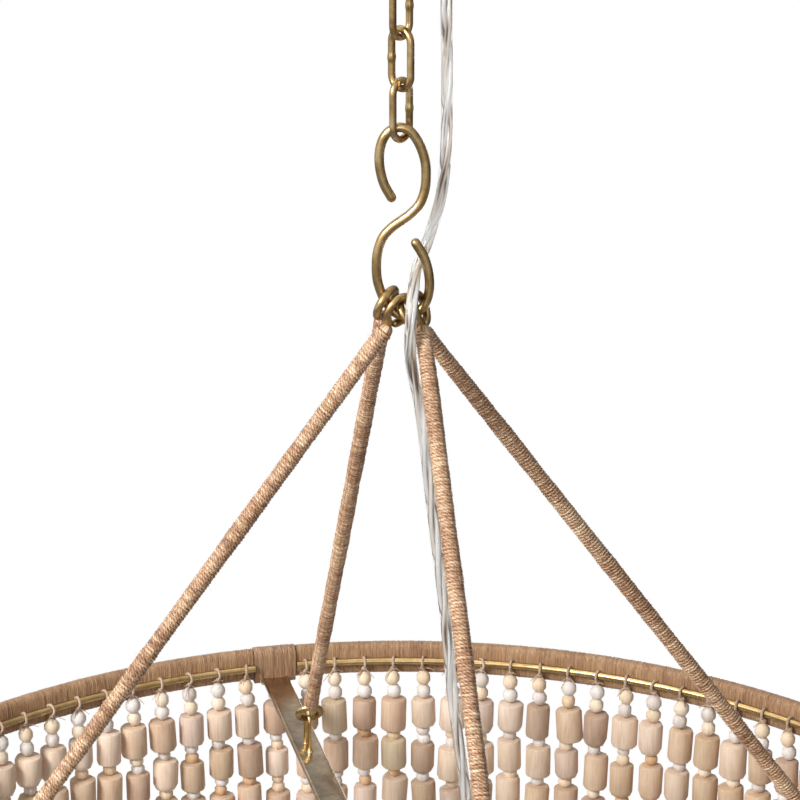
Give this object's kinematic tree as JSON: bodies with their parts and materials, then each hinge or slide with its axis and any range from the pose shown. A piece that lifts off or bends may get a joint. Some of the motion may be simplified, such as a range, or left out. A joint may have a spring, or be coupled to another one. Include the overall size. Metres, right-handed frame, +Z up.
{
  "type": "chandelier",
  "caption": "Drum chandelier of wood-bead strands below a twine-wrapped rim, on four wrapped rods, an S hook and a short brass chain from a ceiling canopy.",
  "frame": {"origin": "on the ceiling plane, at the centre of the canopy and its mounting strap", "axes": "+Z up out of the ceiling plane, so the light hangs along -Z; the camera of the picture looks along +Y"},
  "size_m": [0.813, 0.813, 0.8642],
  "materials": {
    "antique_brass": "satin antique",
    "polished_brass": "satin",
    "steel": "plain",
    "twine": "wound twine with a slight sheen",
    "bead_wood": "matt, lightly washed",
    "flex_clear": "clear jacket over silver strands",
    "holder": "matt",
    "lamp_glass": "frosted"
  },
  "bodies": {
    "ceiling_fitting": {"mounting_strap": "steel", "threaded_nipple": "steel", "canopy": "antique_brass", "canopy_loop": "antique_brass", "flex_bushing": "holder"},
    "link_1": {"chain_link_1": "antique_brass"},
    "link_2": {"chain_link_2": "antique_brass"},
    "link_3": {"chain_link_3": "antique_brass"},
    "link_4": {"chain_link_4": "antique_brass"},
    "link_5": {"chain_link_5": "antique_brass"},
    "hook": {"s_hook": "antique_brass"},
    "drum": {"rod_core_right": "antique_brass", "rod_wrap_right": "twine", "bar_staple_right": "antique_brass", "rod_core_back": "antique_brass", "rod_wrap_back": "twine", "bar_staple_back": "antique_brass", "rod_core_left": "antique_brass", "rod_wrap_left": "twine", "bar_staple_left": "antique_brass", "rod_core_front": "antique_brass", "rod_wrap_front": "twine", "bar_staple_front": "antique_brass", "cross_bar_side": "polished_brass", "cross_bar_depth": "polished_brass", "rim_core": "steel", "rim_wrap_1": "twine", "rim_cuff_right": "twine", "rim_wrap_2": "twine", "rim_cuff_back": "twine", "rim_wrap_3": "twine", "rim_cuff_left": "twine", "rim_wrap_4": "twine", "rim_cuff_front": "twine", "bead_strands_1": "bead_wood", "bead_strands_2": "bead_wood", "bead_strands_3": "bead_wood", "bead_strands_4": "bead_wood", "bead_strands_5": "bead_wood", "bead_strands_6": "bead_wood", "bead_strands_7": "bead_wood", "bead_strands_8": "bead_wood", "lower_ring": "twine", "lamp_cap": "antique_brass", "lamp_stem": "steel", "lamp_cluster": "antique_brass", "finial_nut": "antique_brass", "lamp_holder_1": "holder", "lamp_holder_2": "holder", "lamp_holder_3": "holder", "lamp_holder_4": "holder", "flex_gland": "antique_brass", "flex": "flex_clear"},
    "bulb_body_1": {"bulb_1": "lamp_glass"},
    "bulb_body_2": {"bulb_2": "lamp_glass"},
    "bulb_body_3": {"bulb_3": "lamp_glass"},
    "bulb_body_4": {"bulb_4": "lamp_glass"}
  },
  "joints": [
    {"name": "link_1_swing", "type": "hinge", "parent": "ceiling_fitting", "child": "link_1", "pos_m": [0, 0, -0.0608], "axis": [0.7071, -0.7071, 0], "range_deg": [-10, 10], "deforming": ["flex"]},
    {"name": "link_2_swing", "type": "hinge", "parent": "link_1", "child": "link_2", "pos_m": [0, 0, -0.0873], "axis": [0.6157, 0.788, 0], "range_deg": [-10, 10], "deforming": ["flex"]},
    {"name": "link_3_swing", "type": "hinge", "parent": "link_2", "child": "link_3", "pos_m": [0, 0, -0.1143], "axis": [0.7071, -0.7071, 0], "range_deg": [-10, 10], "deforming": ["flex"]},
    {"name": "link_4_swing", "type": "hinge", "parent": "link_3", "child": "link_4", "pos_m": [0, 0, -0.1413], "axis": [0.6157, 0.788, 0], "range_deg": [-10, 10], "deforming": ["flex"]},
    {"name": "link_5_swing", "type": "hinge", "parent": "link_4", "child": "link_5", "pos_m": [0, 0, -0.1683], "axis": [0.7071, -0.7071, 0], "range_deg": [-10, 10], "deforming": ["flex"]},
    {"name": "hook_swing", "type": "hinge", "parent": "link_5", "child": "hook", "pos_m": [0, 0, -0.1953], "axis": [0, 1, 0], "range_deg": [-12, 12], "deforming": ["flex"]},
    {"name": "frame_swing", "type": "hinge", "parent": "hook", "child": "drum", "pos_m": [0.003, 0, -0.2901], "axis": [0.7071, -0.7071, 0], "range_deg": [-4, 3], "deforming": ["flex"]},
    {"name": "bulb_1_unscrew", "type": "hinge", "parent": "drum", "child": "bulb_body_1", "pos_m": [0.03162, 0.05099, -0.6926], "axis": [0.527, 0.8499, 0], "continuous": true},
    {"name": "bulb_2_unscrew", "type": "hinge", "parent": "drum", "child": "bulb_body_2", "pos_m": [-0.05099, 0.03162, -0.6926], "axis": [-0.8499, 0.527, 0], "continuous": true},
    {"name": "bulb_3_unscrew", "type": "hinge", "parent": "drum", "child": "bulb_body_3", "pos_m": [-0.03162, -0.05099, -0.6926], "axis": [-0.527, -0.8499, 0], "continuous": true},
    {"name": "bulb_4_unscrew", "type": "hinge", "parent": "drum", "child": "bulb_body_4", "pos_m": [0.05099, -0.03162, -0.6926], "axis": [0.8499, -0.527, 0], "continuous": true}
  ]
}
